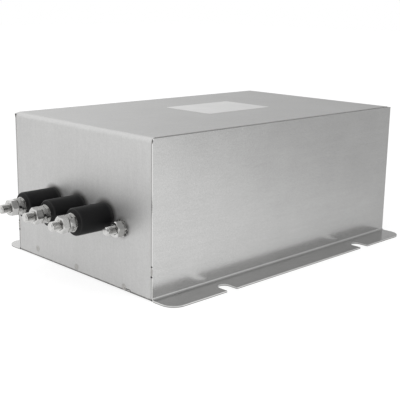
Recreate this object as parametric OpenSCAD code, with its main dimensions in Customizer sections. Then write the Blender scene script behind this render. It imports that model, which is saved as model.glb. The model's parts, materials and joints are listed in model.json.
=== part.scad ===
// Three-phase power line filter in a welded sheet steel case.
// The line end is at -Y and the load end at +Y. A mounting flange runs along each long side.
// The origin lies under the middle of the case, at the level of the flanges' undersides.

/* [Case] */
// Length of the case over its end walls
case_l = 330; // [316:1:400]
// Width of the case over its long sides
case_w = 197; // [190:1:240]
// Height of the case
case_h = 135; // [130:1:160]
// Thickness of the sheet steel
sheet_t = 1.5; // [1:0.1:2]
// Outer radius of the bends between the top and the end walls
bend_r = 4.5; // [3:0.5:8]
// Gap along the welded seams between two sheets
seam = 0.3; // [0.1:0.05:0.4]
// How far the long sides end below the outer face of the top
side_drop = 0.7; // [0.1:0.1:1.2]
// How far the end walls end above the mounting plane
wall_lift = 0.7; // [0.1:0.1:1.2]
// Radius of the upper corners of the long sides
side_corner_r = 3; // [2:0.5:10]
// Width of a welding tab of the base plate
tab_w = 16; // [10:1:24]
// Height of a welding tab of the base plate
tab_h = 12; // [8:1:20]
// Distance between the welding tabs of one end
tab_pitch = 64; // [50:1:70]

/* [Flanges] */
// How far a flange stands out from its long side
flange_w = 24.3; // [22:0.1:36]
// Inner radius of the bend between a long side and its flange
flange_bend_r = 2; // [2:0.5:6]
// Radius of the outer corners of a flange
flange_corner_r = 13; // [4:1:16]
// Width of a mounting slot, which is open at the flange's edge
slot_w = 12; // [8:0.5:14]
// Distance between the two slots of a flange
slot_pitch = 192.6; // [150:0.1:220]
// Distance from the long side to the round end of a slot
slot_web = 9.3; // [7:0.1:11]

/* [Terminals] */
// Distance between neighbouring terminals
terminal_pitch = 37.6; // [34:0.2:42]
// Height of the terminal axes above the mounting plane
terminal_z = 60.9; // [58:0.1:68]
// Diameter of a feedthrough insulator
insulator_d = 23.5; // [20:0.5:26]
// Length of a feedthrough insulator in front of the wall
insulator_l = 33.2; // [20:0.1:40]
// Radius of the insulator's front rim
insulator_rim_r = 1.8; // [0.5:0.1:3]
// Diameter of the insulator's spigot in the wall
spigot_d = 16; // [13:0.5:18]
// Diameter of the collar that holds the insulator from inside
collar_d = 22; // [18:0.5:24]
// Thickness of that collar
collar_t = 6; // [4:0.5:8]
// Diameter of a terminal or earth stud
stud_d = 8; // [6:0.5:9]
// Length of a terminal stud in front of its insulator
stud_reach = 22.9; // [20:0.1:30]
// Chamfer at the tip of a stud
stud_chamfer = 1; // [0.5:0.1:1.5]

/* [Earth studs] */
// Sideways distance from the outermost terminal to the earth stud
earth_offset = 22.4; // [22:0.1:30]
// Height of the earth studs above the mounting plane
earth_z = 54.8; // [40:0.1:70]
// Length of an earth stud in front of the wall
earth_reach = 18; // [15:0.1:24]
// Thickness of the hex head that holds an earth stud from inside
earth_head_t = 5.3; // [4:0.1:7]

/* [Nuts and washers] */
// Width of a nut across its flats
nut_s = 13; // [12:0.5:14]
// Thickness of an outer nut
nut_t = 6.5; // [5:0.1:7.5]
// Thickness of the thin nut behind the spring washer
thin_nut_t = 4; // [3:0.1:5]
// Diameter of the flat washer on the insulator
flat_washer_d = 16; // [14:0.5:18]
// Thickness of that washer
flat_washer_t = 1.6; // [1:0.1:2]
// Diameter of a spring washer
spring_washer_d = 14.8; // [13:0.1:16]
// Thickness of a spring washer
spring_washer_t = 2; // [1.4:0.1:2.5]
// Width of the split in a spring washer
split_w = 1.2; // [0.6:0.1:2]
// Diameter over the teeth of a toothed washer
toothed_washer_d = 15; // [14:0.5:17]
// Thickness of a toothed washer
toothed_washer_t = 1.2; // [1:0.1:1.6]
// Number of teeth on a toothed washer
tooth_count = 10; // [8:1:12]

/* [Label] */
// Length of the label on the top, along the case
label_l = 86; // [60:1:110]
// Width of the label, across the case
label_w = 61; // [40:1:90]
// Thickness of the label
label_t = 0.2; // [0.1:0.05:0.4]
// Radius of the label's corners
label_r = 1.5; // [0.5:0.5:4]

/* [Chokes] */
// Width of a ring core between its bore and its outside
core_w = 20; // [14:1:24]
// Height of the cradle under a choke
cradle_h = 12; // [8:1:16]
// Thickness of a winding on the core
winding_t = 5; // [3:0.5:6]
// Part of the ring that one winding covers, in degrees
winding_arc = 80; // [60:1:90]
// Distance between the two chokes
choke_gap = 4; // [2:1:10]
// Width of a copper lead
lead_w = 15; // [12:1:18]
// Thickness of a copper lead
lead_t = 2; // [1:0.5:3]
// Width of a link between the two chokes
link_w = 12; // [8:1:14]

/* [Circuit board] */
// Thickness of the circuit board
board_t = 1.6; // [1:0.1:2.4]
// Width of a line capacitor
cap_w = 20; // [14:1:26]
// Width across the flats of a board post
post_s = 8; // [7:0.5:10]

/* [Hidden] */
$fn = 72;
// How far a cutting shape runs past the surface that it cuts
over = 1;
line_end = -1;
load_end = 1;
ends = [line_end, load_end];
sides = [-1, 1];
phases = [1, 2, 3];

// Play between a stud and its nuts at full size, and how far the stud is eased behind its free end
thread_play = 0.05;
stud_ease = 0.17;
stud_r = stud_d / 2;
stud_core_r = stud_r - stud_ease;
nut_bore_r = stud_r + thread_play;
washer_bore_r = stud_r + 4 * thread_play;
// How far a nut's chamfered face lies inside its flats
nut_face_inset = 0.15;
bore_chamfer = 0.4;

// Stacks of pieces in front of the insulator and of the wall
spring_washer_at = flat_washer_t + thin_nut_t;
terminal_nut_at = spring_washer_at + spring_washer_t;
terminal_stack = terminal_nut_at + nut_t;
earth_nut_at = 2 * toothed_washer_t;
earth_stack = earth_nut_at + nut_t;

// Stack of pieces behind the end wall, counted inwards from its outer face
collar_back = sheet_t + collar_t;
clamp_nut_at = collar_back + flat_washer_t;
lead_at = clamp_nut_at + nut_t;
lug_nut_at = lead_at + lead_t;
stud_tail = 4;
stud_back = lug_nut_at + nut_t + stud_tail;

// Turned positions of the nuts about their studs, in degrees
thin_nut_turn = -12;
line_nut_turns = [3, -10, -8];
load_nut_turns = [21, -4, 9];
line_earth_turn = 12;
load_earth_turn = -7;

earth_x = terminal_pitch + earth_offset;
hole_play = 0.15;

wall_in_x = case_w / 2 - sheet_t;
wall_in_y = case_l / 2 - sheet_t;
side_top = case_h - side_drop;
flange_edge_x = case_w / 2 + flange_w;
flange_fold_r = flange_bend_r + sheet_t;
slot_end_x = case_w / 2 + slot_web + slot_w / 2;

// Centre of the label, off the middle of the top as it was stuck on
label_x = -6;
label_y = 14;

// Posts of the circuit board, near the corners of the case
post_inset = 17;
post_x = wall_in_x - post_inset;
post_end_inset = 23.5;
post_y = wall_in_y - post_end_inset;
post_corner_r = post_s / 2 / cos(30);

// Chokes, leads and links
// The chokes fill the room between the studs' tails, as far as the board posts leave it
former_gap = 0.3;
choke_end_gap = 14.3;
choke_side_gap = 15.1;
winding_out_r = min((case_l / 2 - stud_back - choke_end_gap - choke_gap / 2) / 2,
    post_x - post_corner_r - choke_side_gap);
core_out_r = winding_out_r - winding_t - former_gap;
core_in_r = core_out_r - core_w;
winding_in_r = core_in_r - former_gap - winding_t;
liner_t = 0.8;
liner_inset = 7;
liner_top = sheet_t + liner_t;
lead_drop = 8;
lead_rise = 9;
winding_top = terminal_z + lead_rise;
winding_bottom = liner_top + cradle_h;
winding_h = winding_top - winding_bottom;
core_h = winding_h - 2 * (former_gap + winding_t);
choke_y = winding_out_r + choke_gap / 2;
lead_lap = 12;
link_overlap = 18;
lead_link_gap = 4;
side_lead_reach = link_overlap + lead_link_gap;
link_edge = 2.2;
link_x = winding_out_r - link_edge - link_w / 2;
cradle_wall = 5;
cradle_bore_r = winding_in_r - cradle_wall;
finger_l = 12;
ear_t = 4;
ear_r = 8;
ear_neck_w = 14;
ear_reach = 7.7;
ear_out_r = winding_out_r + ear_reach;
plate_stud_r = 2;
plate_stud_spare = 1.3;
small_nut_s = 7;
small_nut_t = 3.2;

// Circuit board and what stands on it
cap_headroom = 10;
cap_corner_r = 1.5;
board_gap = 13;
board_z = winding_top + lead_t + board_gap;
board_top = board_z + board_t;
cap_h = case_h - sheet_t - cap_headroom - board_top;
board_side = 5;
board_end = 8;
board_w = 2 * (post_x + board_side);
board_l = 2 * (post_y + board_end);
screw_r = 1.5;
screw_l = 10;
screw_head_r = 2.8;
screw_head_t = 2.2;
cap_space = 10;
cap_side = 12;
cap_end = 53;
cap_l = (board_w - 2 * (cap_side + cap_space)) / 3;
cap_y = board_l / 2 - cap_end;
y_cap_l = 18;
y_cap_w = 8;
y_cap_h = 14;
y_cap_pitch = 30;
resistor_r = 2.5;
resistor_l = 16;
resistor_leg_r = 0.4;
resistor_leg_out = 3;
resistor_lift = 1;
resistor_pitch = 45;
resistor_y = 28;
tap_r = 1.2;
tap_inset = 12;

// Places

// X of terminal 1, 2 or 3, counted from -X
function phase_x(i) = (i - 2) * terminal_pitch;

// Puts a piece on an axis square to an end wall: its own +Z points outwards,
// and its own origin lies `out` in front of the wall's outer face.
module on_end(end, x, z, out = 0) {
    translate([x, end * (case_l / 2 + out), z])
        rotate([90, 0, end > 0 ? 180 : 0]) children();
}

// Puts a piece in front of the insulator of one terminal
module on_insulator(end, i, out) {
    on_end(end, phase_x(i), terminal_z, insulator_l + out) children();
}

// Turns a piece that was drawn for the line half to its own half
module on_half(end) {
    rotate([0, 0, end > 0 ? 180 : 0]) children();
}

// Three gaps between the windings of a choke, at their angles about its middle
module in_winding_gaps() {
    for (turn = [30, 150, 270]) rotate([0, 0, turn]) children();
}

module at_cradle_ears() {
    for (end = ends) on_half(end)
        translate([0, -choke_y, 0]) in_winding_gaps() translate([ear_out_r, 0, 0]) children();
}

module at_posts() {
    for (x = sides, y = sides) translate([x * post_x, y * post_y, 0]) children();
}

// Shapes that repeat

module ring(r_out, r_in, t) {
    difference() {
        cylinder(r = r_out, h = t);
        translate([0, 0, -over]) cylinder(r = r_in, h = t + 2 * over);
    }
}

// Plain bore with a small countersink at both faces of a piece of thickness t
module chamfered_bore(r, t, edge) {
    translate([0, 0, -over]) cylinder(r = r, h = t + 2 * over);
    translate([0, 0, -edge]) cylinder(r1 = r + 2 * edge, r2 = r, h = 2 * edge);
    translate([0, 0, t - edge]) cylinder(r1 = r, r2 = r + 2 * edge, h = 2 * edge);
}

// Hexagonal blank with the corners of both faces turned down to a circle
module hex_blank(s, t) {
    corner_r = s / 2 / cos(30);
    face_r = s / 2 - nut_face_inset;
    bevel_h = (corner_r - face_r) * tan(30);
    intersection() {
        cylinder(r = corner_r, h = t, $fn = 6);
        rotate_extrude() polygon([
            [0, 0], [face_r, 0], [corner_r, bevel_h],
            [corner_r, t - bevel_h], [face_r, t], [0, t]
        ]);
    }
}

module hex_nut(s, t, turn = 0) {
    rotate([0, 0, turn]) difference() {
        hex_blank(s, t);
        chamfered_bore(nut_bore_r, t, bore_chamfer);
    }
}

// Split ring with a square section, pressed flat between two nuts
module spring_washer() {
    color("dimgray") difference() {
        ring(spring_washer_d / 2, nut_bore_r, spring_washer_t);
        rotate([0, 0, 150]) translate([spring_washer_d / 2, 0, spring_washer_t / 2])
            rotate([20, 0, 0]) cube([spring_washer_d, split_w, 4 * spring_washer_t], center = true);
    }
}

// Lock washer: a flat ring whose outer teeth are each twisted out of its plane
module toothed_washer(bore_r) {
    tooth_l_share = 0.42;
    tooth_root_r = bore_r + (toothed_washer_d / 2 - bore_r) * (1 - tooth_l_share);
    tooth_l = toothed_washer_d / 2 - tooth_root_r;
    tooth_w_share = 0.5;
    tooth_w = 2 * PI * toothed_washer_d / 2 / tooth_count * tooth_w_share;
    tooth_t_share = 0.6;
    tooth_t = toothed_washer_t * tooth_t_share;
    twist = asin((toothed_washer_t - tooth_t) / tooth_w) * 0.95;
    color("silver") {
        ring(tooth_root_r, bore_r, toothed_washer_t);
        intersection() {
            for (k = [0 : tooth_count - 1])
                rotate([0, 0, k * 360 / tooth_count])
                    translate([tooth_root_r + tooth_l / 2, 0, toothed_washer_t / 2])
                        rotate([twist, 0, 0]) cube([tooth_l + over, tooth_w, tooth_t], center = true);
            ring(toothed_washer_d / 2, bore_r, toothed_washer_t);
        }
    }
}

// Round stud from z = -back to z = reach, eased up to z = eased and full size beyond it
module stud(back, eased, reach) {
    rotate_extrude() polygon([
        [0, -back], [stud_core_r - stud_chamfer, -back], [stud_core_r, -back + stud_chamfer],
        [stud_core_r, eased], [stud_r, eased], [stud_r, reach - stud_chamfer],
        [stud_r - stud_chamfer, reach], [0, reach]
    ]);
}

// Area of a rectangle standing on the first axis, with its two upper corners rounded
module arched_area(w, h, r) {
    translate([-w / 2, 0]) square([w, h - r]);
    translate([r - w / 2, 0]) square([w - 2 * r, h]);
    for (side = sides) translate([side * (w / 2 - r), h - r]) circle(r);
}

// Area of a rectangle with four round corners, centred
module rounded_area(w, l, r) {
    square([w - 2 * r, l], center = true);
    square([w, l - 2 * r], center = true);
    for (x = sides, y = sides) translate([x * (w / 2 - r), y * (l / 2 - r)]) circle(r);
}

// Stands an area drawn in Y and Z upright and gives it a width along X, centred
module across(w) {
    rotate([90, 0, 90]) translate([0, 0, -w / 2]) linear_extrude(w) children();
}

// Case

// Top and both end walls, bent from one sheet that fits between the long sides
module top_cover() {
    cover_w = case_w - 2 * (sheet_t + seam);
    color("silver") difference() {
        across(cover_w) difference() {
            arched_area(case_l, case_h, bend_r);
            translate([0, -over]) arched_area(2 * wall_in_y, case_h - sheet_t + over, bend_r - sheet_t);
            translate([-case_l / 2 - over, -over]) square([case_l + 2 * over, over + wall_lift]);
        }
        for (end = ends) {
            for (i = phases) on_end(end, phase_x(i), terminal_z, -sheet_t - over)
                cylinder(r = spigot_d / 2 + hole_play, h = sheet_t + 2 * over);
            on_end(end, earth_x, earth_z, -sheet_t - over)
                cylinder(r = stud_r + hole_play, h = sheet_t + 2 * over);
        }
    }
}

// Cross-section of a long side: wall, quarter bend and flange, from the wall's inner face outwards
module side_profile() {
    translate([0, flange_fold_r]) square([sheet_t, side_top - flange_fold_r]);
    intersection() {
        translate([flange_fold_r, flange_fold_r]) difference() {
            circle(flange_fold_r);
            circle(flange_bend_r);
        }
        square([flange_fold_r, flange_fold_r]);
    }
    translate([flange_fold_r, 0]) square([sheet_t + flange_w - flange_fold_r, sheet_t]);
}

// What a round corner of radius r takes off a square one whose point lies at the origin
module corner_waste(r, t) {
    translate([0, 0, -over]) difference() {
        translate([-over, -over, 0]) cube([r + over, r + over, t + 2 * over]);
        translate([r, r, -over]) cylinder(r = r, h = t + 4 * over);
    }
}

// Long side at +X: the wall and its flange with two open slots
module side_panel() {
    color("silver") difference() {
        translate([wall_in_x, case_l / 2, 0]) rotate([90, 0, 0])
            linear_extrude(case_l) side_profile();
        for (y = sides) {
            translate([slot_end_x, y * slot_pitch / 2, -over])
                cylinder(r = slot_w / 2, h = sheet_t + 2 * over);
            translate([slot_end_x, y * slot_pitch / 2 - slot_w / 2, -over])
                cube([flange_w, slot_w, sheet_t + 2 * over]);
        }
        translate([flange_edge_x, case_l / 2, 0]) rotate([0, 0, 180])
            corner_waste(flange_corner_r, sheet_t);
        translate([flange_edge_x, -case_l / 2, 0]) rotate([0, 0, 90])
            corner_waste(flange_corner_r, sheet_t);
        translate([wall_in_x, case_l / 2, side_top]) rotate([90, 90, 90])
            rotate([0, 0, 90]) corner_waste(side_corner_r, sheet_t);
        translate([wall_in_x, -case_l / 2, side_top]) rotate([90, 0, 90])
            rotate([0, 0, -90]) corner_waste(side_corner_r, sheet_t);
    }
}

// Floor of the case, with three welding tabs at each end and press-in studs for the cradles
module base_plate() {
    plate_w = 2 * (wall_in_x - seam);
    plate_l = 2 * (wall_in_y - seam);
    plate_stud_h = liner_t + ear_t + small_nut_t + plate_stud_spare;
    color("silver") {
        translate([-plate_w / 2, -plate_l / 2, 0]) cube([plate_w, plate_l, sheet_t]);
        for (end = ends, k = [-1, 0, 1]) on_half(end)
            translate([k * tab_pitch - tab_w / 2, -plate_l / 2, 0]) cube([tab_w, sheet_t, tab_h]);
        translate([0, 0, sheet_t / 2]) at_cradle_ears()
            cylinder(r = plate_stud_r, h = sheet_t / 2 + plate_stud_h);
    }
}

module rating_label() {
    color("gainsboro") translate([label_x, label_y, case_h])
        linear_extrude(label_t) rounded_area(label_w, label_l, label_r);
}

// Terminals

// Plastic bushing: a round body in front of the wall and a spigot through it
module insulator(end, i) {
    body_r = insulator_d / 2;
    bore_r = stud_core_r + thread_play;
    color("#26272a") on_end(end, phase_x(i), terminal_z) rotate_extrude() difference() {
        union() {
            translate([0, -sheet_t]) square([spigot_d / 2, sheet_t + insulator_l / 2]);
            square([body_r, insulator_l - insulator_rim_r]);
            square([body_r - insulator_rim_r, insulator_l]);
            translate([body_r - insulator_rim_r, insulator_l - insulator_rim_r])
                circle(insulator_rim_r);
        }
        translate([-body_r, -sheet_t - over]) square([body_r + bore_r, insulator_l + sheet_t + 2 * over]);
    }
}

module terminal_stud(end, i) {
    color("silver") on_end(end, phase_x(i), terminal_z)
        stud(stud_back, insulator_l + terminal_stack, insulator_l + stud_reach);
}

module flat_washers(end) {
    for (i = phases) color("silver") on_insulator(end, i, 0)
        ring(flat_washer_d / 2, washer_bore_r, flat_washer_t);
}

module thin_nuts(end) {
    for (i = phases) color("silver") on_insulator(end, i, flat_washer_t)
        hex_nut(nut_s, thin_nut_t, thin_nut_turn);
}

module terminal_spring_washer(end, i) {
    on_insulator(end, i, spring_washer_at) spring_washer();
}

module terminal_nut(end, i, turn) {
    color("silver") on_insulator(end, i, terminal_nut_at) hex_nut(nut_s, nut_t, turn);
}

// Earth studs

// Bolt put through the wall from inside, with its hex head against the wall
module earth_stud(end) {
    color("silver") on_end(end, earth_x, earth_z) {
        stud(sheet_t + earth_head_t / 2, earth_stack, earth_reach);
        mirror([0, 0, 1]) translate([0, 0, sheet_t]) hex_blank(nut_s, earth_head_t);
    }
}

module inner_toothed_washers() {
    for (end = ends) on_end(end, earth_x, earth_z) toothed_washer(washer_bore_r);
}

module earth_toothed_washer(end) {
    on_end(end, earth_x, earth_z, toothed_washer_t)
        rotate([0, 0, 180 / tooth_count]) toothed_washer(nut_bore_r);
}

module earth_nut(end, turn) {
    color("silver") on_end(end, earth_x, earth_z, earth_nut_at) hex_nut(nut_s, nut_t, turn);
}

// Pieces behind the end walls

module insulator_collars() {
    for (end = ends, i = phases) color("#26272a")
        on_end(end, phase_x(i), terminal_z, -collar_back)
            ring(collar_d / 2, washer_bore_r, collar_t);
}

module inner_washers() {
    for (end = ends, i = phases) color("silver")
        on_end(end, phase_x(i), terminal_z, -clamp_nut_at)
            ring(flat_washer_d / 2, washer_bore_r, flat_washer_t);
}

// Two nuts on each stud, which hold the collar and then the lead
module inner_nuts() {
    for (end = ends, i = phases, back = [lead_at, lug_nut_at + nut_t]) color("silver")
        on_end(end, phase_x(i), terminal_z, -back) hex_nut(nut_s, nut_t);
}

// Copper strip bent from a stud's tail over the windings. It ends at y = tip_y in the line half.
module lead(end, i, tip_y) {
    start_y = lead_at - case_l / 2;
    color("peru") on_half(end) translate([phase_x(i), 0, 0]) difference() {
        across(lead_w) {
            translate([start_y, terminal_z - lead_drop]) square([lead_t, lead_drop + lead_rise + lead_t]);
            translate([start_y, winding_top]) square([tip_y - start_y, lead_t]);
        }
        translate([0, start_y - over, terminal_z]) rotate([-90, 0, 0])
            cylinder(r = washer_bore_r, h = lead_t + 2 * over);
    }
}

// The outer leads end on the near windings, the middle one runs on to the far winding
module leads(end) {
    for (i = phases)
        lead(end, i, i == 2 ? lead_lap - choke_y + winding_in_r : -choke_y - side_lead_reach);
}

// Links that carry each phase from the first choke to the second
module stage_links() {
    outer_l = 2 * (choke_y + link_overlap);
    middle_l = 2 * (lead_lap + choke_gap / 2);
    color("peru") translate([0, 0, winding_top]) {
        for (side = sides) translate([side * link_x - link_w / 2, -outer_l / 2, 0])
            cube([link_w, outer_l, lead_t]);
        translate([-link_w / 2, -middle_l / 2, 0]) cube([link_w, middle_l, lead_t]);
    }
}

// Chokes

module choke_core(end) {
    color("#3a3a3d") on_half(end)
        translate([0, -choke_y, winding_bottom + winding_t + former_gap])
            ring(core_out_r, core_in_r, core_h);
}

// Three windings, each a closed sleeve round its part of the core
module choke_windings(end) {
    channel_in_r = core_in_r - former_gap;
    channel_w = core_w + 2 * former_gap;
    color("sienna") on_half(end) translate([0, -choke_y, winding_bottom])
        for (turn = [90, 210, 330]) rotate([0, 0, turn - winding_arc / 2])
            rotate_extrude(angle = winding_arc) difference() {
                translate([winding_in_r, 0]) square([winding_out_r - winding_in_r, winding_h]);
                translate([channel_in_r, winding_t])
                    square([channel_w, winding_h - 2 * winding_t]);
            }
}

// Moulded ring under each choke, with three fingers that hold the bare core and three ears
module choke_cradles() {
    finger_in_r = core_out_r + former_gap;
    finger_w = winding_t - 3 * former_gap;
    finger_h = winding_bottom + winding_t + former_gap + core_h - liner_top;
    color("ivory") for (end = ends) on_half(end) translate([0, -choke_y, liner_top]) difference() {
        union() {
            ring(winding_out_r, cradle_bore_r, cradle_h);
            in_winding_gaps() {
                translate([finger_in_r, -finger_l / 2, 0]) cube([finger_w, finger_l, finger_h]);
                translate([winding_out_r - cradle_wall, -ear_neck_w / 2, 0])
                    cube([cradle_wall + ear_reach, ear_neck_w, ear_t]);
                translate([ear_out_r, 0, 0]) cylinder(r = ear_r, h = ear_t);
            }
        }
        in_winding_gaps() translate([ear_out_r, 0, -over])
            cylinder(r = plate_stud_r + hole_play, h = ear_t + 2 * over);
    }
}

module cradle_nuts() {
    color("silver") translate([0, 0, liner_top + ear_t]) at_cradle_ears() difference() {
        hex_blank(small_nut_s, small_nut_t);
        translate([0, 0, -over]) cylinder(r = plate_stud_r + thread_play, h = small_nut_t + 2 * over);
    }
}

// Insulating sheet on the floor, cut out round the posts and the press-in studs
module base_liner() {
    liner_w = 2 * (wall_in_x - liner_inset);
    liner_l = 2 * (wall_in_y - liner_inset);
    color("khaki") translate([0, 0, sheet_t]) difference() {
        translate([-liner_w / 2, -liner_l / 2, 0]) cube([liner_w, liner_l, liner_t]);
        translate([0, 0, -over]) {
            at_posts() cylinder(r = post_corner_r + hole_play, h = liner_t + 2 * over);
            at_cradle_ears() cylinder(r = plate_stud_r + hole_play, h = liner_t + 2 * over);
        }
    }
}

// Circuit board

module circuit_board() {
    color("seagreen") translate([0, 0, board_z]) difference() {
        translate([-board_w / 2, -board_l / 2, 0]) cube([board_w, board_l, board_t]);
        translate([0, 0, -over]) {
            at_posts() cylinder(r = screw_r + hole_play, h = board_t + 2 * over);
            at_taps() cylinder(r = tap_r + hole_play, h = board_t + 2 * over);
        }
    }
}

module at_taps() {
    for (end = ends, i = phases) on_half(end)
        translate([phase_x(i), lug_nut_at + tap_inset - case_l / 2, 0]) children();
}

// Wires from the leads up into the board
module tap_wires() {
    color("peru") translate([0, 0, winding_top + lead_t])
        at_taps() cylinder(r = tap_r, h = board_top - winding_top - lead_t);
}

// Film capacitors between the phases, three for each half of the filter
module line_capacitors() {
    for (y = sides, k = [-1, 0, 1]) color("goldenrod")
        translate([k * (cap_l + cap_space), y * cap_y, board_top])
            linear_extrude(cap_h) rounded_area(cap_l, cap_w, cap_corner_r);
}

// Film capacitors to the case, one for each phase and one for their common point
module earth_capacitors() {
    for (k = [0 : 3]) color("steelblue")
        translate([(k - 1.5) * y_cap_pitch, 0, board_top])
            linear_extrude(y_cap_h) rounded_area(y_cap_l, y_cap_w, cap_corner_r);
}

module discharge_resistors() {
    axis_z = resistor_r + resistor_lift;
    leg_x = resistor_l / 2 + resistor_leg_out;
    for (k = [-1, 0, 1]) color("tan")
        translate([k * resistor_pitch, resistor_y, board_top]) {
            translate([-resistor_l / 2, 0, axis_z]) rotate([0, 90, 0])
                cylinder(r = resistor_r, h = resistor_l);
            translate([-leg_x, 0, axis_z]) rotate([0, 90, 0])
                cylinder(r = resistor_leg_r, h = 2 * leg_x);
            for (side = sides) translate([side * leg_x, 0, 0]) {
                cylinder(r = resistor_leg_r, h = axis_z);
                translate([0, 0, axis_z]) sphere(r = resistor_leg_r);
            }
        }
}

module board_posts() {
    color("silver") translate([0, 0, sheet_t]) at_posts() difference() {
        cylinder(r = post_corner_r, h = board_z - sheet_t, $fn = 6);
        translate([0, 0, board_z - sheet_t - screw_l])
            cylinder(r = screw_r + hole_play, h = screw_l + over);
    }
}

module board_screws() {
    color("silver") at_posts() {
        translate([0, 0, board_top - screw_l]) cylinder(r = screw_r, h = screw_l);
        translate([0, 0, board_top]) difference() {
            cylinder(r = screw_head_r, h = screw_head_t);
            translate([0, 0, screw_head_t / 2]) cylinder(r = screw_r, h = screw_head_t, $fn = 6);
        }
    }
}

top_cover();
mirror([1, 0, 0]) side_panel();  // side_panel_left
side_panel();  // side_panel_right
base_plate();
rating_label();
insulator(line_end, 1);  // line_insulator_1
insulator(line_end, 2);  // line_insulator_2
insulator(line_end, 3);  // line_insulator_3
insulator(load_end, 1);  // load_insulator_1
insulator(load_end, 2);  // load_insulator_2
insulator(load_end, 3);  // load_insulator_3
terminal_stud(line_end, 1);  // line_stud_1
terminal_stud(line_end, 2);  // line_stud_2
terminal_stud(line_end, 3);  // line_stud_3
terminal_stud(load_end, 1);  // load_stud_1
terminal_stud(load_end, 2);  // load_stud_2
terminal_stud(load_end, 3);  // load_stud_3
earth_stud(line_end);  // line_earth_stud
earth_stud(load_end);  // load_earth_stud
flat_washers(line_end);  // line_flat_washers
flat_washers(load_end);  // load_flat_washers
thin_nuts(line_end);  // line_thin_nuts
thin_nuts(load_end);  // load_thin_nuts
inner_toothed_washers();
terminal_spring_washer(line_end, 1);  // line_spring_washer_1
terminal_spring_washer(line_end, 2);  // line_spring_washer_2
terminal_spring_washer(line_end, 3);  // line_spring_washer_3
terminal_spring_washer(load_end, 1);  // load_spring_washer_1
terminal_spring_washer(load_end, 2);  // load_spring_washer_2
terminal_spring_washer(load_end, 3);  // load_spring_washer_3
earth_toothed_washer(line_end);  // line_toothed_washer
earth_toothed_washer(load_end);  // load_toothed_washer
terminal_nut(line_end, 1, line_nut_turns[0]);  // line_nut_1
terminal_nut(line_end, 2, line_nut_turns[1]);  // line_nut_2
terminal_nut(line_end, 3, line_nut_turns[2]);  // line_nut_3
terminal_nut(load_end, 1, load_nut_turns[0]);  // load_nut_1
terminal_nut(load_end, 2, load_nut_turns[1]);  // load_nut_2
terminal_nut(load_end, 3, load_nut_turns[2]);  // load_nut_3
earth_nut(line_end, line_earth_turn);  // line_earth_nut
earth_nut(load_end, load_earth_turn);  // load_earth_nut
insulator_collars();
inner_washers();
inner_nuts();
choke_core(line_end);  // line_choke_core
choke_core(load_end);  // load_choke_core
choke_windings(line_end);  // line_choke_windings
choke_windings(load_end);  // load_choke_windings
choke_cradles();
cradle_nuts();
leads(line_end);  // line_leads
leads(load_end);  // load_leads
stage_links();
circuit_board();
line_capacitors();
earth_capacitors();
discharge_resistors();
board_posts();
board_screws();
tap_wires();
base_liner();
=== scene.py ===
"""Looks of the three-phase power line filter: finishes, threaded studs, welds, light and camera."""

import json
import math

import bmesh
import bpy
from mathutils import Matrix, Vector


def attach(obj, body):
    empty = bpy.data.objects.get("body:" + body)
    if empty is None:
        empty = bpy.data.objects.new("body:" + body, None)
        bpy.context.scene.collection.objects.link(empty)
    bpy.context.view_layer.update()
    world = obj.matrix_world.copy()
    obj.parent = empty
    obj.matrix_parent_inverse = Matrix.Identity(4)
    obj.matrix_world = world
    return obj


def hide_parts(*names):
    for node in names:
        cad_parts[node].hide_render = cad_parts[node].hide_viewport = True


MM = 0.001
bpy.context.scene.view_settings.view_transform = "Standard"

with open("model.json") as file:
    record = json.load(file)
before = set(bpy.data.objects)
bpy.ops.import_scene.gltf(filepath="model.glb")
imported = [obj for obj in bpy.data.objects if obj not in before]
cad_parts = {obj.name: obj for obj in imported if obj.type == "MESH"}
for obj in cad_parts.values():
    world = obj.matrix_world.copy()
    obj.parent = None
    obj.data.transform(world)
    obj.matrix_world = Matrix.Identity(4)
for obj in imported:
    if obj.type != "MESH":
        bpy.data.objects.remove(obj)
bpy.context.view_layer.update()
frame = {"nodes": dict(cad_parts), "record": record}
nodes = frame["nodes"]
slot_of = {part["node"]: part["material_slot"] for part in frame["record"]["subparts"]}

# Sizes that the new pieces share with the solids, in metres
CASE_X = 98.5 * MM
CASE_Y = 165 * MM
CASE_Z = 135 * MM
SIDE_Z = 134.3 * MM
SHEET_T = 1.5 * MM
SEAM_X = 96.85 * MM
FLANGE_X = 122.8 * MM
TERMINAL_Z = 60.9 * MM
TERMINAL_PITCH = 37.6 * MM
EARTH_X = 60 * MM
EARTH_Z = 54.8 * MM
INSULATOR_L = 33.2 * MM
STUD_TIP = 56.1 * MM
STUD_BACK = 28.1 * MM
CLAMP_NUT_BACK = 9.1 * MM
EARTH_TIP = 18 * MM
CHOKE_Y = 62.27 * MM
WINDING_IN_R = 29.67 * MM
WINDING_OUT_R = 60.27 * MM
WINDING_BOTTOM = 14.3 * MM
WINDING_TOP = 69.9 * MM
WIRE_R = 2.5 * MM
WINDING_ROUND_R = 5.5 * MM
TURNS = 8
COIL_SPREAD = math.radians(71)
THREAD_PITCH = 1.25 * MM
THREAD_DEPTH = 0.6134 * THREAD_PITCH
STUD_R = 4 * MM
STUD_CORE_R = 3.83 * MM
CHAMFER = 1 * MM
ENDS = {"line": -1, "load": 1}
LABEL_X = -6 * MM
LABEL_Y = 14 * MM
LABEL_W = 61 * MM
LABEL_L = 86 * MM
# Middles of the spot welds at the foot of each end wall, and half a section of the ring that each one leaves
SPOTS = ((-66.6 * MM, 8.2 * MM), (-5 * MM, 5.2 * MM), (62 * MM, 3.4 * MM))
SPOT_RING = ((0.2 * MM, 0.03 * MM), (1.3 * MM, 0.04 * MM), (1.7 * MM, 0.13 * MM), (2.1 * MM, 0.15 * MM),
             (2.5 * MM, 0.08 * MM), (2.7 * MM, -0.1 * MM), (0.2 * MM, -0.1 * MM))
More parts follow.
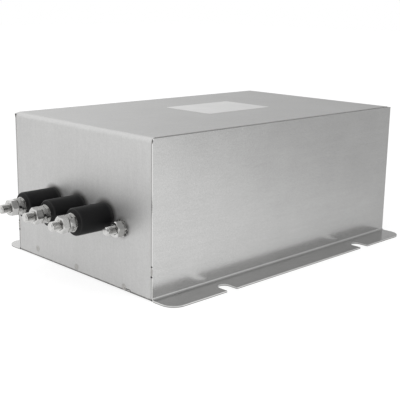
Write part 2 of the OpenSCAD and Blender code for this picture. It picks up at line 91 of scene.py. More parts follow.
# Middles of the tack weld on each upright seam and of the small one at its top
TACK_X = 97.45 * MM
TACK_Z = 25.4 * MM
TOP_TACK_X = 97.7 * MM
TOP_TACK_Z = 131.2 * MM
# Length, width and height of the beads
TACK_BEAD = (6.4 * MM, 1.9 * MM, 0.5 * MM)
TOP_TACK_BEAD = (1.7 * MM, 1.2 * MM, 0.4 * MM)
TAB_BEAD = (9 * MM, 0.8 * MM, 0.1 * MM)
TAB_END_BEAD = (1.8 * MM, 0.8 * MM, 0.1 * MM)
PIT_DEPTH = 0.2 * MM
# Dark beads for the pits along each upright seam, coloured as painted shade of the pits with weld scorch:
# height, length and width in millimetres
PITS = ((21, 1.7, 2.2), (29.6, 1.3, 1.9), (132.6, 3, 0.9), (1.3, 1.8, 1.5))
# Painted shade along the edge of a tab at the foot of each end wall, as a thin dark strip: its middle, its
# height, and where its end stands
TAB_X = 66.2 * MM
TAB_Z = 2.7 * MM
TAB_END_X = 70.6 * MM
TAB_END_Z = 1.7 * MM


# Materials

class Finish:
    """A material with one Principled shader. Values that are the same all over sit on its own sockets."""

    def __init__(self, name, colour, metallic, roughness, **plain):
        self.material = bpy.data.materials.new(name)
        self.material.use_nodes = True
        self.tree = self.material.node_tree
        self.shader = self.tree.nodes["Principled BSDF"]
        self.shader.inputs["Base Color"].default_value = (*colour, 1)
        self.shader.inputs["Metallic"].default_value = metallic
        self.shader.inputs["Roughness"].default_value = roughness
        for socket, value in plain.items():
            self.shader.inputs[socket.replace("_", " ")].default_value = value
        self.place = self.node("ShaderNodeTexCoord").outputs["Object"]
        self.x, self.y, self.z = self.node("ShaderNodeSeparateXYZ", Vector=self.place).outputs

    def node(self, kind, **inputs):
        made = self.tree.nodes.new(kind)
        for socket, value in inputs.items():
            self.set(made.inputs[socket.replace("_", " ")], value)
        return made

    def set(self, socket, value):
        if isinstance(value, bpy.types.NodeSocket):
            self.tree.links.new(value, socket)
        else:
            socket.default_value = value

    def math(self, operation, a, b=0.0, c=0.0):
        made = self.tree.nodes.new("ShaderNodeMath")
        made.operation = operation
        for socket, value in zip(made.inputs, (a, b, c)):
            self.set(socket, value)
        return made.outputs[0]

    def noise(self, scale, stretch=(1, 1, 1), detail=3.0):
        """Noise of scale waves a metre, times stretch along each axis."""
        placed = self.node("ShaderNodeMapping", Vector=self.place, Scale=stretch)
        made = self.node("ShaderNodeTexNoise", Vector=placed.outputs[0], Scale=scale, Detail=detail)
        return made.outputs[0]

    def cells(self, scale, stretch=(1, 1, 1)):
        """Distance to the nearest of scattered points, in cell sizes."""
        placed = self.node("ShaderNodeMapping", Vector=self.place, Scale=stretch)
        made = self.node("ShaderNodeTexVoronoi", Vector=placed.outputs[0], Scale=scale)
        return made.outputs["Distance"]

    def ramp(self, value, low, high, to_low=0.0, to_high=1.0):
        """Smooth step of a value from low..high to to_low..to_high."""
        made = self.tree.nodes.new("ShaderNodeMapRange")
        made.interpolation_type = "SMOOTHSTEP"
        for socket, number in zip(made.inputs, (value, low, high, to_low, to_high)):
            self.set(socket, number)
        return made.outputs[0]

    def mix(self, factor, a, b):
        made = self.tree.nodes.new("ShaderNodeMix")
        made.data_type = "RGBA"
        self.set(made.inputs[0], factor)
        for socket, value in ((made.inputs[6], a), (made.inputs[7], b)):
            self.set(socket, value if isinstance(value, bpy.types.NodeSocket) else (*value, 1))
        return made.outputs[2]

    def total(self, start, *terms):
        """start plus each (value, weight), with every value counted from its middle 0.5."""
        result = start - sum(0.5 * weight for value, weight in terms)
        for value, weight in terms:
            result = self.math("MULTIPLY_ADD", value, weight, result)
        return result

    def near_axis(self, x, z, pitch=None):
        """Distance from an axis along Y, or from the nearest of a row of them."""
        across = self.math("SUBTRACT", self.x, x)
        if pitch:
            across = self.math("WRAP", across, pitch / 2, -pitch / 2)
        up = self.math("SUBTRACT", self.z, z)
        squares = self.math("ADD", self.math("MULTIPLY", across, across), self.math("MULTIPLY", up, up))
        return self.math("SQRT", squares)

    def colour(self, value):
        self.set(self.shader.inputs["Base Color"], value)

    def roughness(self, value):
        self.set(self.shader.inputs["Roughness"], value)

    def bump(self, *layers):
        """Layers of (height, depth in metres), the coarsest first."""
        normal = None
        for height, depth in layers:
            made = self.node("ShaderNodeBump", Height=height, Distance=depth)
            if normal is not None:
                self.tree.links.new(normal, made.inputs["Normal"])
            normal = made.outputs[0]
        self.tree.links.new(normal, self.shader.inputs["Normal"])


def grey(value):
    return (value, value * 0.998, value * 0.99)


def sheet_steel(name, metallic, rough, stretch, speckle, marks):
    """Satin sheet: fine rolled grain, soft clouding, a slight waviness, rubbed streaks and brighter edges.

    stretch draws the grain out along the rolling direction, and speckle is how strong it is. marks(finish)
    gives where worn edges are and where the metal is darkened by stains and by painted shade, both 0 to 1.
    """
    made = Finish(name, grey(0.58), metallic, rough)
    grain = made.noise(2200, stretch, 4)
    mottle = made.noise(760, detail=2)
    streaks = made.noise(320, stretch, 3)
    clouds = made.noise(26, detail=4)
    waves = made.noise(7, detail=1)
    rubs = made.ramp(made.noise(420, (1, 0.25, 0.6), 2), 0.68, 0.8)
    edge, stain_and_shade = marks(made)
    tone = made.total(0.5, (clouds, 0.7), (streaks, 0.4), (grain, 0.6 * speckle), (mottle, speckle))
    body = made.mix(tone, grey(0.52), grey(0.64))
    rubbed = made.mix(made.math("MULTIPLY", rubs, 0.25), body, grey(0.74))
    # Stains and painted shade both darken the metal here.
    stained_and_shaded = made.mix(stain_and_shade, rubbed, (0.10, 0.095, 0.09))
    made.colour(made.mix(edge, stained_and_shaded, grey(0.70)))
    made.roughness(made.total(rough, (clouds, 0.08), (grain, 0.08), (rubs, 0.05)))
    made.bump((waves, 0.4 * MM), (streaks, 0.005 * MM), (mottle, 0.009 * MM), (grain, 0.004 * MM))
    return made.material


def cover_marks(made):
    """The cover's bends; stains round the spot welds; painted shade and reflection round the bushings;
    painted shade round the earth bolt, along the foot of each end wall and on the cut edges in the seams.
    """
    out_y = made.math("SUBTRACT", CASE_Y, made.math("ABSOLUTE", made.y))
    down_z = made.math("SUBTRACT", CASE_Z, made.z)
    away = made.math("SQRT", made.math("ADD", made.math("MULTIPLY", out_y, out_y),
                                       made.math("MULTIPLY", down_z, down_z)))
    bend = made.ramp(away, 2.0 * MM, 4.5 * MM, 0.08, 0)
    on_wall = made.ramp(out_y, 2 * MM, 1 * MM)
    cloud = made.noise(240, detail=3)
    stain_and_shade = 0.0
    for x, z in SPOTS:
        ragged = made.math("MULTIPLY_ADD", cloud, 2 * MM, made.near_axis(x, z))
        stain_and_shade = made.math("MAXIMUM", made.ramp(ragged, 4.8 * MM, 1.8 * MM, 0, 0.8), stain_and_shade)
    # Painted shade and reflection of the black bushings: the wall is darkened round the foot of each bushing.
    bushing = made.near_axis(0, TERMINAL_Z, TERMINAL_PITCH)
    around = made.math("MULTIPLY", made.ramp(bushing, 17.5 * MM, 11 * MM, 0, 0.85),
                       made.ramp(made.math("ABSOLUTE", made.x), 57 * MM, 55 * MM))
    stain_and_shade = made.math("MAXIMUM", around, stain_and_shade)
    # Painted shade round the foot of the earth bolt.
    earth = made.ramp(made.near_axis(EARTH_X, EARTH_Z), 11 * MM, 7 * MM, 0, 0.35)
    stain_and_shade = made.math("MAXIMUM", earth, stain_and_shade)
    # Painted shade along the foot of each end wall, made ragged by noise.
    foot_shade = made.ramp(made.math("MULTIPLY_ADD", cloud, 1.2 * MM, made.z), 3.0 * MM, 1.6 * MM, 0, 0.95)
    # Painted shade on the cover's cut edges, in the seams beside the side panels.
    cut_edge_shade = made.ramp(made.math("ABSOLUTE", made.x), SEAM_X - 0.35 * MM, SEAM_X - 0.2 * MM, 0, 0.25)
    wall_stain_and_shade = made.math("MULTIPLY", made.math("MAXIMUM", stain_and_shade, foot_shade), on_wall)
    return bend, made.math("MAXIMUM", wall_stain_and_shade, cut_edge_shade)


def panel_marks(made):
    """The cut edges of a long side and of its flange, dirt along the flange's fold, and painted shade in the
    upright seams and along the panel's foot.
    """
    ends = made.ramp(made.math("ABSOLUTE", made.y), CASE_Y - 0.25 * MM, CASE_Y - 0.05 * MM)
    top = made.ramp(made.z, SIDE_Z - 0.25 * MM, SIDE_Z - 0.05 * MM, 0, 0.4)
    flange = made.ramp(made.math("ABSOLUTE", made.x), FLANGE_X - 0.2 * MM, FLANGE_X - 0.05 * MM)
    smudge = made.math("MULTIPLY", made.ramp(made.noise(60, (1, 0.5, 1), 4), 0.55, 0.75, 0, 0.12),
                       made.ramp(made.z, 14 * MM, 2 * MM))
    # Painted shade on the inner half of each end's cut edge, in the upright seam beside the cover.
    inwards = made.ramp(made.math("ABSOLUTE", made.x), CASE_X - 0.7 * MM, CASE_X - 1 * MM, 0, 0.6)
    seam_shade = made.math("MULTIPLY", inwards, ends)
    worn = made.math("MULTIPLY", made.math("MAXIMUM", made.math("MAXIMUM", ends, top), flange),
                     made.ramp(made.z, 0.5 * MM, 0.7 * MM))
    worn = made.math("MULTIPLY", worn, made.math("SUBTRACT", 1, seam_shade))
    # Painted shade on everything of the panel below 0.7 mm, along its foot.
    bottom_shade = made.ramp(made.z, 0.7 * MM, 0.5 * MM, 0, 0.7)
    return worn, made.math("MAXIMUM", smudge, made.math("MAXIMUM", seam_shade, bottom_shade))


def plate_marks(made):
    smudge = made.ramp(made.noise(40, detail=4), 0.5, 0.8, 0, 0.2)
    # Painted shade at each end of the plate, where it meets the end walls.
    foot_shade = made.ramp(made.math("ABSOLUTE", made.y), CASE_Y - 2.2 * MM, CASE_Y - 1.9 * MM, 0, 0.9)
    return made.ramp(made.z, 11 * MM, 12 * MM, 0, 0.4), made.math("MAXIMUM", smudge, foot_shade)


def zinc(name):
    """Semi-bright zinc plating on turned and pressed steel."""
    made = Finish(name, grey(0.58), 1.0, 0.16)
    grain = made.noise(3500, detail=3)
    turned = made.noise(5200, (0.06, 1, 0.06), 2)
    clouds = made.noise(180, detail=3)
    specks = made.ramp(made.cells(900), 0.0, 0.16, 1, 0)
    tone = made.total(0.5, (clouds, 0.9), (turned, 0.5), (grain, 0.3))
    body = made.mix(tone, (0.42, 0.415, 0.405), (0.70, 0.70, 0.69))
    made.colour(made.mix(made.math("MULTIPLY", specks, 0.4), body, grey(0.3)))
    made.roughness(made.total(0.16, (clouds, 0.12), (grain, 0.10)))
    made.bump((clouds, 0.08 * MM), (turned, 0.006 * MM), (grain, 0.006 * MM))
    return made.material


def weld_metal(name):
    """Weld metal: bright ripples with darker, heat-stained hollows."""
    made = Finish(name, grey(0.5), 1.0, 0.4)
    ripples = made.noise(1400, detail=4)
    stains = made.noise(420, detail=3)
    tone = made.total(0.5, (ripples, 0.9), (stains, 0.8))
    made.colour(made.mix(tone, (0.26, 0.25, 0.24), (0.66, 0.65, 0.63)))
    made.roughness(made.total(0.42, (stains, 0.2), (ripples, 0.1)))
    made.bump((ripples, 0.05 * MM))
    return made.material


def weld_scale_and_shade(name):
    """Near-black crust: painted shade of the pits beside a weld, with weld scorch, and of the edge of a tab.
    """
    made = Finish(name, grey(0.05), 0.3, 0.7)
    crust = made.noise(2600, detail=3)
    made.colour(made.mix(crust, (0.02, 0.018, 0.016), (0.09, 0.085, 0.08)))
    made.roughness(made.total(0.7, (crust, 0.2)))
    made.bump((crust, 0.05 * MM))
    return made.material


def black_plastic(name):
    """Glass-filled moulding: fine speckle, soft flow marks and a rim that is rubbed lighter."""
    made = Finish(name, (0.014, 0.014, 0.015), 0.0, 0.42, Specular_IOR_Level=0.14)
    speckle = made.noise(2600, detail=3)
    flow = made.noise(120, (1, 0.3, 1), 3)
    fibres = made.ramp(made.noise(1500, (1, 0.12, 1), 2), 0.62, 0.78)
    radius = made.near_axis(0, TERMINAL_Z, TERMINAL_PITCH)
    rim = made.math("MULTIPLY", made.ramp(radius, 10.4 * MM, 11.2 * MM),
                    made.ramp(made.math("ABSOLUTE", made.y), CASE_Y + 31.6 * MM, CASE_Y + 33 * MM))
    tone = made.total(0.5, (flow, 0.8), (speckle, 0.4))
    body = made.mix(tone, (0.006, 0.006, 0.0065), (0.012, 0.012, 0.0125))
    streaked = made.mix(made.math("MULTIPLY", fibres, 0.25), body, (0.04, 0.04, 0.04))
    worn = made.math("MULTIPLY", rim, made.ramp(speckle, 0.35, 0.65, 0.2, 0.8))
    # Painted reflection of the bright wall: each bushing is lighter over its last 4 mm towards the wall.
    wall_reflection = made.ramp(made.math("ABSOLUTE", made.y), CASE_Y + 4 * MM, CASE_Y, 0, 0.6)
    wall_reflected = made.mix(wall_reflection, streaked, (0.07, 0.07, 0.069))
    made.colour(made.mix(worn, wall_reflected, (0.035, 0.035, 0.035)))
    made.roughness(made.total(0.44, (flow, 0.14), (speckle, 0.12), (rim, -0.1)))
    made.bump((flow, 0.08 * MM), (speckle, 0.012 * MM))
    return made.material


def label_film(name):
    """Blank metallised film: silver grey, faintly mottled by the adhesive, with a bright cut edge."""
    made = Finish(name, (0.66, 0.66, 0.655), 0.75, 0.42)
    mottle = made.noise(60, detail=3)
    fine = made.noise(1800, detail=2)
    pressed = made.noise(14, detail=2)
    off_x = made.math("ABSOLUTE", made.math("SUBTRACT", made.x, LABEL_X))
    off_y = made.math("ABSOLUTE", made.math("SUBTRACT", made.y, LABEL_Y))
    border = made.math("MAXIMUM", made.ramp(off_x, LABEL_W / 2 - 0.6 * MM, LABEL_W / 2 - 0.1 * MM),
                       made.ramp(off_y, LABEL_L / 2 - 0.6 * MM, LABEL_L / 2 - 0.1 * MM))
    tone = made.total(0.5, (mottle, 0.8), (pressed, 0.7), (fine, 0.2))
    body = made.mix(tone, (0.79, 0.79, 0.785), (0.91, 0.91, 0.905))
    made.colour(made.mix(made.math("MULTIPLY", border, 0.6), body, (0.86, 0.86, 0.85)))
    made.roughness(made.total(0.42, (mottle, 0.12), (fine, 0.06)))
    made.bump((pressed, 0.08 * MM), (mottle, 0.02 * MM), (fine, 0.003 * MM))
    return made.material


def copper(name, dark, light, metallic=1.0, **plain):
    """Copper strip or enamelled wire, with drawing lines and darker tarnish."""
    made = Finish(name, light, metallic, 0.3, **plain)
    tarnish = made.noise(70, detail=4)
    lines = made.noise(2400, (1, 0.08, 1), 2)
    made.colour(made.mix(made.total(0.5, (tarnish, 1.1), (lines, 0.5)), dark, light))
    made.roughness(made.total(0.32, (tarnish, 0.2), (lines, 0.08)))
    made.bump((tarnish, 0.05 * MM), (lines, 0.01 * MM))
    return made.material


def moulded(name, dark, light, roughness, grain=2000, depth=0.01, **plain):
    """Moulded or coated piece: fine grain, soft colour drift and small pits."""
    made = Finish(name, light, 0.0, roughness, **plain)
    fine = made.noise(grain, detail=3)
    drift = made.noise(45, detail=3)
    pits = made.ramp(made.cells(grain / 4), 0.0, 0.14, 1, 0)
    body = made.mix(made.total(0.5, (drift, 0.9), (fine, 0.4)), dark, light)
    made.colour(made.mix(made.math("MULTIPLY", pits, 0.35), body, tuple(0.6 * c for c in dark)))
    made.roughness(made.total(roughness, (drift, 0.12), (fine, 0.1)))
    made.bump((fine, depth * MM), (pits, -depth * MM))
    return made.material


def laminate(name):
    """Circuit board: green resist over a woven laminate, with the weave showing faintly."""
    made = Finish(name, (0.05, 0.28, 0.12), 0.0, 0.35)
    along = made.math("SINE", made.math("MULTIPLY", made.x, 9000))
    across = made.math("SINE", made.math("MULTIPLY", made.y, 9000))
    weave = made.math("MULTIPLY_ADD", made.math("MULTIPLY", along, across), 0.5, 0.5)
    drift = made.noise(40, detail=3)
    made.colour(made.mix(made.total(0.5, (drift, 0.8), (weave, 0.4)), (0.03, 0.20, 0.08), (0.06, 0.32, 0.14)))
    made.roughness(made.total(0.34, (drift, 0.12), (weave, 0.08)))
    made.bump((weave, 0.01 * MM))
    return made.material


RUN_Y = (1, 0.09, 1)
finishes = {
    "top_cover": sheet_steel("cover_steel", 0.8, 0.48, (1, 0.09, 0.09), 1.0, cover_marks),
    "side_panel_left": sheet_steel("panel_steel", 1.0, 0.24, RUN_Y, 1.25, panel_marks),
    "base_plate": sheet_steel("plate_steel", 1.0, 0.3, RUN_Y, 1.0, plate_marks),
    "zinc_steel": zinc("zinc_steel"),
    "weld_metal": weld_metal("weld_metal"),
    "weld_scale_and_shade": weld_scale_and_shade("weld_scale_and_shade"),
    "black_plastic": black_plastic("black_plastic"),
    "label_film": label_film("label_film"),
    "copper": copper("copper", (0.50, 0.22, 0.12), (0.78, 0.44, 0.28)),
    "enamelled_copper": copper("enamelled_copper", (0.24, 0.07, 0.03), (0.48, 0.18, 0.08), 0.6,
                               Coat_Weight=0.6, Coat_Roughness=0.15),
    "core_ceramic": moulded("core_ceramic", (0.07, 0.07, 0.08), (0.11, 0.11, 0.12), 0.55),
    "nylon": moulded("nylon", (0.72, 0.69, 0.58), (0.86, 0.84, 0.76), 0.45),
    "board": laminate("board"),
    "capacitor_yellow": moulded("capacitor_yellow", (0.74, 0.50, 0.06), (0.88, 0.66, 0.14), 0.3),
    "capacitor_blue": moulded("capacitor_blue", (0.06, 0.15, 0.40), (0.12, 0.26, 0.56), 0.3),
    "resistor_body": moulded("resistor_body", (0.62, 0.50, 0.34), (0.78, 0.68, 0.52), 0.4, 3000),
    "liner_film": moulded("liner_film", (0.66, 0.62, 0.44), (0.80, 0.77, 0.60), 0.5, 900, 0.02),
}
finishes["side_panel_right"] = finishes["side_panel_left"]

for node_name, cad_object in nodes.items():
    chosen = finishes.get(node_name) or finishes[slot_of[node_name]]
    cad_object.data.materials.clear()
    cad_object.data.materials.append(chosen)


# Shapes

def finished(name, mesh, place, body, slot, finish, *replaced):
    """An object from a bmesh, put in place, smooth between its sharp edges, riding on its body."""
    data = bpy.data.meshes.new(name)
    mesh.to_mesh(data)
    mesh.free()
    data.transform(place)
    data.shade_smooth()
    data.set_sharp_from_angle(angle=math.radians(32))
    data.materials.append(finishes[finish])
    made = bpy.data.objects.new(name, data)
    bpy.context.scene.collection.objects.link(made)
    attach(made, body)
    if replaced:
        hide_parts(*replaced)
    return made


def on_end(end, x, z):
    """Matrix that stands a piece drawn along +Z on the outer face of an end wall."""
    outwards = Matrix(((-end, 0, 0), (0, 0, end), (0, 1, 0)))
    return Matrix.Translation((x, end * CASE_Y, z)) @ outwards.to_4x4()


def add_thread(mesh, start, tip, major, steps, chamfer=CHAMFER):
    """Adds a closed length of screw thread along +Z, with a cone at both ends."""
    minor = major - THREAD_DEPTH
    profile = ((0.0, minor), (0.125, minor), (0.25, minor), (0.40, (minor + major) / 2),
               (0.5625, major), (0.6875, major), (0.84, (minor + major) / 2))
    rows = []
    turns = math.ceil((tip - start) / THREAD_PITCH) + 2
    for i in range(turns * steps + 1):
        angle = 2 * math.pi * i / steps
        row = []
        for share, radius in profile:
            z = min(max(start + THREAD_PITCH * (i / steps - 1 + share), start), tip)
            radius = min(radius, major - chamfer + min(tip - z, z - start))
            row.append(mesh.verts.new((radius * math.cos(angle), radius * math.sin(angle), z)))
        rows.append(row)
    count = len(profile)
    for i in range(turns * steps):
        for j in range(count):
            if j + 1 < count:
                corners = (rows[i][j], rows[i + 1][j], rows[i + 1][j + 1], rows[i][j + 1])
            elif i + 1 + steps < len(rows):
                corners = (rows[i][j], rows[i + 1][j], rows[i + 1 + steps][0], rows[i + steps][0])
            else:
                continue
            mesh.faces.new(corners)
    close_ends(mesh)


def close_ends(mesh):
    """Merges points that fell together and fills what is still open."""
    bmesh.ops.remove_doubles(mesh, verts=mesh.verts, dist=0.0005 * MM)
    bmesh.ops.dissolve_degenerate(mesh, edges=mesh.edges, dist=0.0005 * MM)
    open_edges = [e for e in mesh.edges if e.is_boundary]
    bmesh.ops.holes_fill(mesh, edges=open_edges, sides=0)
    bmesh.ops.recalc_face_normals(mesh, faces=mesh.faces)


def skin(mesh, rings):
    """Joins closed rings of points into a tube, and closes both of its ends."""
    count = len(rings[0])
    for low, high in zip(rings, rings[1:]):
        for i in range(count):
            mesh.faces.new((low[i], low[(i + 1) % count], high[(i + 1) % count], high[i]))
    mesh.faces.new(list(reversed(rings[0])))
    mesh.faces.new(rings[-1])


def add_turned(mesh, profile, steps):
    """Adds a solid of revolution about Z from a list of (radius, z), closed at both ends on the axis."""
    rings = []
    for radius, z in profile:
        rings.append([mesh.verts.new((radius * math.cos(2 * math.pi * i / steps),
                                      radius * math.sin(2 * math.pi * i / steps), z)) for i in range(steps)])
    skin(mesh, rings)


def add_hex(mesh, width, low, high):
    """Adds a hexagonal head between two heights, with its outer corners turned down to a circle."""
    corner_r = width / 2 / math.cos(math.radians(30))
    face_r = width / 2 - 0.15 * MM
    steps = 72
    rings = [[] for _ in range(4)]
    for i in range(steps):
        angle = 2 * math.pi * i / steps
        from_middle = (math.degrees(angle) % 60) - 30
        side_r = min(width / 2 / math.cos(math.radians(from_middle)), corner_r)
        drop = max(side_r - face_r, 0) * math.tan(math.radians(30))
        for ring, (radius, z) in zip(rings, ((face_r, low), (side_r, low + drop),
                                             (side_r, high - drop), (face_r, high))):
            ring.append(mesh.verts.new((radius * math.cos(angle), radius * math.sin(angle), z)))
    skin(mesh, rings)


def terminal_stud(end_name, number):
    end = ENDS[end_name]
    mesh = bmesh.new()
    add_thread(mesh, INSULATOR_L - 1.5 * MM, STUD_TIP, STUD_R, 36)
    add_thread(mesh, -STUD_BACK, -CLAMP_NUT_BACK + 2 * MM, STUD_CORE_R, 20)
    add_turned(mesh, ((3.0 * MM, -CLAMP_NUT_BACK - 1 * MM), (STUD_CORE_R, -CLAMP_NUT_BACK),
                      (STUD_CORE_R, INSULATOR_L - 1.2 * MM), (3.0 * MM, INSULATOR_L - 0.4 * MM)), 40)
    place = on_end(end, (number - 2) * TERMINAL_PITCH, TERMINAL_Z)
    finished(f"{end_name}_threaded_stud_{number}", mesh, place, "root", "zinc_steel", "zinc_steel",
             f"{end_name}_stud_{number}")


def earth_bolt(end_name):
    end = ENDS[end_name]
    mesh = bmesh.new()
    add_thread(mesh, 0.1 * MM, EARTH_TIP, STUD_R, 36)
    add_turned(mesh, ((STUD_CORE_R, -SHEET_T - 2 * MM), (STUD_CORE_R, 0.8 * MM), (3.2 * MM, 1.4 * MM)), 40)
    add_hex(mesh, 13 * MM, -SHEET_T - 5.3 * MM, -SHEET_T)
    finished(f"{end_name}_earth_bolt", mesh, on_end(end, EARTH_X, EARTH_Z),
             "root", "zinc_steel", "zinc_steel", f"{end_name}_earth_stud")


for end_name in ENDS:
    for number in (1, 2, 3):
        terminal_stud(end_name, number)
    earth_bolt(end_name)


def turn_path(in_r, out_r, low, high, corner_r):
    """Points (radius, height) once round a rectangle with round corners, from the middle of its top."""
    middles = ((out_r - corner_r, high - corner_r, 90), (out_r - corner_r, low + corner_r, 0),
               (in_r + corner_r, low + corner_r, -90), (in_r + corner_r, high - corner_r, -180))
    points = [((in_r + out_r) / 2, high)]
    for radius, z, start in middles:
        for i in range(6):
            angle = math.radians(start - 18 * i)
            points.append((radius + corner_r * math.cos(angle), z + corner_r * math.sin(angle)))
    return points


def add_coil(mesh, middle, path):
    """Adds one wire wound round part of the ring core whose middle is at angle middle."""
    count = len(path)
    centres = []
    for i in range(TURNS * count + 1):
        radius, z = path[i % count]
        angle = middle + COIL_SPREAD * (i / (TURNS * count) - 0.5)
        centres.append(Vector((radius * math.cos(angle), radius * math.sin(angle), z)))
    sides = 12
    rings = []
    for i, centre in enumerate(centres):
        along = (centres[min(i + 1, len(centres) - 1)] - centres[max(i - 1, 0)]).normalized()
        beside = Vector((-centre.y, centre.x, 0)).normalized()
        beside = (beside - along * beside.dot(along)).normalized()
        outside = along.cross(beside)
        ring = []
        for j in range(sides):
            angle = 2 * math.pi * j / sides
            out = math.cos(angle) * beside + math.sin(angle) * outside
            ring.append(mesh.verts.new(centre + WIRE_R * out))
        rings.append(ring)
    skin(mesh, rings)


def wound_choke(end_name):
    mesh = bmesh.new()
    path = turn_path(WINDING_IN_R + WIRE_R, WINDING_OUT_R - WIRE_R, WINDING_BOTTOM + WIRE_R,
                     WINDING_TOP - WIRE_R, WINDING_ROUND_R)
    for middle in (90, 210, 330):
        add_coil(mesh, math.radians(middle), path)
    half_turn = Matrix.Rotation(math.pi if end_name == "load" else 0, 4, "Z")
    place = half_turn @ Matrix.Translation((0, -CHOKE_Y, 0))
    finished(f"{end_name}_choke_coils", mesh, place, "root", "enamelled_copper", "enamelled_copper",
             f"{end_name}_choke_windings")


def add_bead(mesh, centre, length, width, height, seed):
    """Adds a rippled weld bead that runs along local Y, half sunk in its wall."""
    rows, around = 28, 16
    rings = []
    for i in range(rows + 1):
        along = 2 * i / rows - 1
        swell = math.sqrt(max(1 - along ** 4, 0.02))
        ripple = 1 + 0.16 * math.sin(9 * math.pi * along + seed) * swell
        drift = 0.10 * width * math.sin(5 * along + 2 * seed)
        ring = []
        for j in range(around):
            angle = 2 * math.pi * j / around
            out = height * swell * ripple * math.sin(angle)
            ring.append(mesh.verts.new((centre[0] + drift + width / 2 * swell * ripple * math.cos(angle),
                                        centre[1] + length / 2 * along, out)))
        rings.append(ring)
    skin(mesh, rings)


def welds(end_name):
    """Tack welds on the upright seams with dark pits beside them, whose darkness is painted shade with weld
    scorch, spot weld rings, and a dark strip of painted shade along a tab's edge.
    """
    end = ENDS[end_name]
    metal = bmesh.new()
    scale = bmesh.new()
    for side in (-1, 1):
        mirror = -end * side
        add_bead(metal, (mirror * TACK_X, TACK_Z), *TACK_BEAD, side + end)
        add_bead(metal, (mirror * TOP_TACK_X, TOP_TACK_Z), *TOP_TACK_BEAD, side)
        # Dark beads standing for pits: painted shade of the hollows, with weld scorch.
        for z, length, width in PITS:
            middle = CASE_X - 0.56 * width * MM
            add_bead(scale, (mirror * middle, z * MM), length * MM, width * MM, PIT_DEPTH, side)
    # A thin dark strip along the edge of a tab: painted shade of the step.
    lying = len(scale.verts)
    add_bead(scale, (-TAB_Z, end * TAB_X), *TAB_BEAD, 1)
    scale.verts.ensure_lookup_table()
    for vert in scale.verts[lying:]:
        vert.co.x, vert.co.y = -vert.co.y, -vert.co.x
    add_bead(scale, (-end * TAB_END_X, TAB_END_Z), *TAB_END_BEAD, 1)
    for x, z in SPOTS:
        spot = bmesh.new()
        add_turned(spot, SPOT_RING, 40)
        bmesh.ops.translate(spot, verts=spot.verts, vec=(-end * x, z, 0))
        copied = bpy.data.meshes.new("spot")
        spot.to_mesh(copied)
        spot.free()
        metal.from_mesh(copied)
        bpy.data.meshes.remove(copied)
    finished(f"{end_name}_welds", metal, on_end(end, 0, 0), "root", "case_steel", "weld_metal")
    # The dark beads and the tab's strip: painted shade, with weld scorch in the pits.
    finished(f"{end_name}_weld_pits_and_shade", scale, on_end(end, 0, 0), "root", "case_steel", "weld_scale_and_shade")


for end_name in ENDS:
    wound_choke(end_name)
    welds(end_name)


# Camera

def photo_camera():
    camera = bpy.data.cameras.new("photo_camera")
    camera.sensor_fit = "HORIZONTAL"
    camera.sensor_width = 36
    camera.lens = 74.68
    holder = bpy.data.objects.new("photo_camera", camera)
    right = Vector((0.69814625, 0.71578633, 0.0155482))
    down = Vector((0.17735458, -0.15186235, -0.97235959))
    ahead = Vector((-0.69364052, 0.68160675, -0.23297011))
    turn = Matrix((right, -down, -ahead)).transposed().to_4x4()
    holder.matrix_world = Matrix.Translation((0.579203, -0.584939, 0.238868)) @ turn
    bpy.context.scene.collection.objects.link(holder)
    bpy.context.scene.camera = holder


photo_camera()


# Light and floor

# Smooth steps of what metal mirrors: from, to, and the strength at each. The first goes by y + 0.7 z of
# the direction, the second by how near the direction is to the photographer's, the third by y - 0.6 x on
# the floor.
SKY_FADE = (0.52, 1.08, 1.16, 0.44)
PHOTOGRAPHER = (0.68, -0.70, 0.2)
PHOTOGRAPHER_FADE = (0.6, 0.9, 1, 0.3)
FLOOR_FADE = (-0.3, 0.3, 0.65, 0.18)
FLOOR_HALF = 6
# The floor lies this far under the case, so that the two never share a plane
FLOOR_DROP = 0.2 * MM

def seen_directly(tree):
    """1 for rays of the camera and for rays that are mirrored or pass through something, and 0 for others."""
    path = tree.nodes.new("ShaderNodeLightPath")
    total = path.outputs["Is Camera Ray"]
    for output in ("Is Glossy Ray", "Is Transmission Ray"):
        larger = tree.nodes.new("ShaderNodeMath")
        larger.operation = "MAXIMUM"
        tree.links.new(total, larger.inputs[0])
        tree.links.new(path.outputs[output], larger.inputs[1])
        total = larger.outputs[0]
    return total, path.outputs["Is Camera Ray"]


def faded(tree, value, *limits):
    """Smooth step of a value: from, to, and what it gives there."""
    made = tree.nodes.new("ShaderNodeMapRange")
    made.interpolation_type = "SMOOTHSTEP"
    tree.links.new(value, made.inputs[0])
    for socket, limit in zip(list(made.inputs)[1:5], limits):
        socket.default_value = limit
    return made.outputs[0]


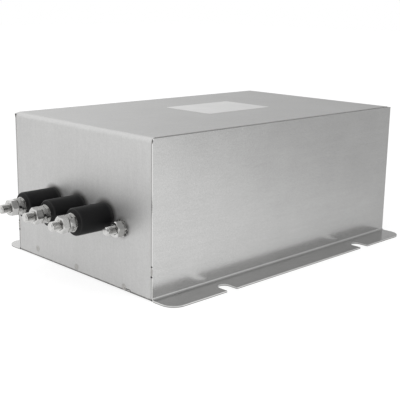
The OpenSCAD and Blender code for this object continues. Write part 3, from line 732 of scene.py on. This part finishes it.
def studio_world():
    """White to the camera. Metal sees it darken to the rear, upwards and round the photographer."""
    world = bpy.data.worlds.new("studio")
    bpy.context.scene.world = world
    world.use_nodes = True
    tree = world.node_tree
    tree.nodes.clear()
    seen, camera_ray = seen_directly(tree)
    direction = tree.nodes.new("ShaderNodeSeparateXYZ")
    ahead = tree.nodes.new("ShaderNodeTexCoord").outputs["Generated"]
    tree.links.new(ahead, direction.inputs[0])
    strength = tree.nodes.new("ShaderNodeMix")
    tree.links.new(camera_ray, strength.inputs[0])
    rear_and_up = tree.nodes.new("ShaderNodeMath")
    rear_and_up.operation = "MULTIPLY_ADD"
    tree.links.new(direction.outputs[2], rear_and_up.inputs[0])
    rear_and_up.inputs[1].default_value = 0.7
    tree.links.new(direction.outputs[1], rear_and_up.inputs[2])
    photographer = tree.nodes.new("ShaderNodeVectorMath")
    photographer.operation = "DOT_PRODUCT"
    tree.links.new(ahead, photographer.inputs[0])
    photographer.inputs[1].default_value = PHOTOGRAPHER
    dimmed = tree.nodes.new("ShaderNodeMath")
    dimmed.operation = "MULTIPLY"
    tree.links.new(faded(tree, rear_and_up.outputs[0], *SKY_FADE), dimmed.inputs[0])
    tree.links.new(faded(tree, photographer.outputs["Value"], *PHOTOGRAPHER_FADE), dimmed.inputs[1])
    tree.links.new(dimmed.outputs[0], strength.inputs[2])
    strength.inputs[3].default_value = 1
    white = tree.nodes.new("ShaderNodeBackground")
    white.inputs["Color"].default_value = (1, 1, 1, 1)
    tree.links.new(strength.outputs[0], white.inputs["Strength"])
    plain = tree.nodes.new("ShaderNodeBackground")
    plain.inputs["Color"].default_value = (1, 1, 1, 1)
    plain.inputs["Strength"].default_value = 0.7
    both = tree.nodes.new("ShaderNodeMixShader")
    tree.links.new(seen, both.inputs[0])
    tree.links.new(plain.outputs[0], both.inputs[1])
    tree.links.new(white.outputs[0], both.inputs[2])
    out = tree.nodes.new("ShaderNodeOutputWorld")
    tree.links.new(both.outputs[0], out.inputs[0])


def pale_floor():
    """White with a faint shadow to the camera. Metal sees it darken towards the load end."""
    mesh = bmesh.new()
    corners = ((-1, -1), (1, -1), (1, 1), (-1, 1))
    mesh.faces.new([mesh.verts.new((x * FLOOR_HALF, y * FLOOR_HALF, 0)) for x, y in corners])
    data = bpy.data.meshes.new("floor")
    mesh.to_mesh(data)
    mesh.free()
    floor = bpy.data.objects.new("floor", data)
    bpy.context.scene.collection.objects.link(floor)
    floor.location.z = -FLOOR_DROP
    material = bpy.data.materials.new("pale_floor")
    material.use_nodes = True
    tree = material.node_tree
    tree.nodes.clear()
    seen, camera_ray = seen_directly(tree)
    place = tree.nodes.new("ShaderNodeSeparateXYZ")
    tree.links.new(tree.nodes.new("ShaderNodeTexCoord").outputs["Object"], place.inputs[0])
    strength = tree.nodes.new("ShaderNodeMix")
    tree.links.new(camera_ray, strength.inputs[0])
    behind = tree.nodes.new("ShaderNodeMath")
    behind.operation = "MULTIPLY_ADD"
    tree.links.new(place.outputs[0], behind.inputs[0])
    behind.inputs[1].default_value = -0.6
    tree.links.new(place.outputs[1], behind.inputs[2])
    tree.links.new(faded(tree, behind.outputs[0], *FLOOR_FADE), strength.inputs[2])
    strength.inputs[3].default_value = 0.8
    glow = tree.nodes.new("ShaderNodeEmission")
    tree.links.new(strength.outputs[0], glow.inputs["Strength"])
    share = tree.nodes.new("ShaderNodeMix")
    share.data_type = "RGBA"
    tree.links.new(camera_ray, share.inputs[0])
    share.inputs[6].default_value = (0.45, 0.45, 0.45, 1)
    share.inputs[7].default_value = (0.3, 0.3, 0.3, 1)
    dim = tree.nodes.new("ShaderNodeBsdfDiffuse")
    tree.links.new(share.outputs[2], dim.inputs["Color"])
    shown = tree.nodes.new("ShaderNodeAddShader")
    tree.links.new(glow.outputs[0], shown.inputs[0])
    tree.links.new(dim.outputs[0], shown.inputs[1])
    pale = tree.nodes.new("ShaderNodeBsdfDiffuse")
    pale.inputs["Color"].default_value = (0.8, 0.8, 0.8, 1)
    both = tree.nodes.new("ShaderNodeMixShader")
    tree.links.new(seen, both.inputs[0])
    tree.links.new(pale.outputs[0], both.inputs[1])
    tree.links.new(shown.outputs[0], both.inputs[2])
    out = tree.nodes.new("ShaderNodeOutputMaterial")
    tree.links.new(both.outputs[0], out.inputs[0])
    data.materials.append(material)


def soft_lamp(name, place, size, watts):
    lamp = bpy.data.lights.new(name, "AREA")
    lamp.size = size
    lamp.energy = watts
    holder = bpy.data.objects.new(name, lamp)
    holder.matrix_world = (Matrix.Translation(place)
                           @ Vector(place).to_track_quat("Z", "Y").to_matrix().to_4x4())
    holder.visible_glossy = False
    bpy.context.scene.collection.objects.link(holder)


studio_world()
pale_floor()
soft_lamp("overhead", (-0.5, -0.6, 1.5), 1.4, 9)
soft_lamp("side", (1.5, 0.3, 0.9), 1.0, 4)
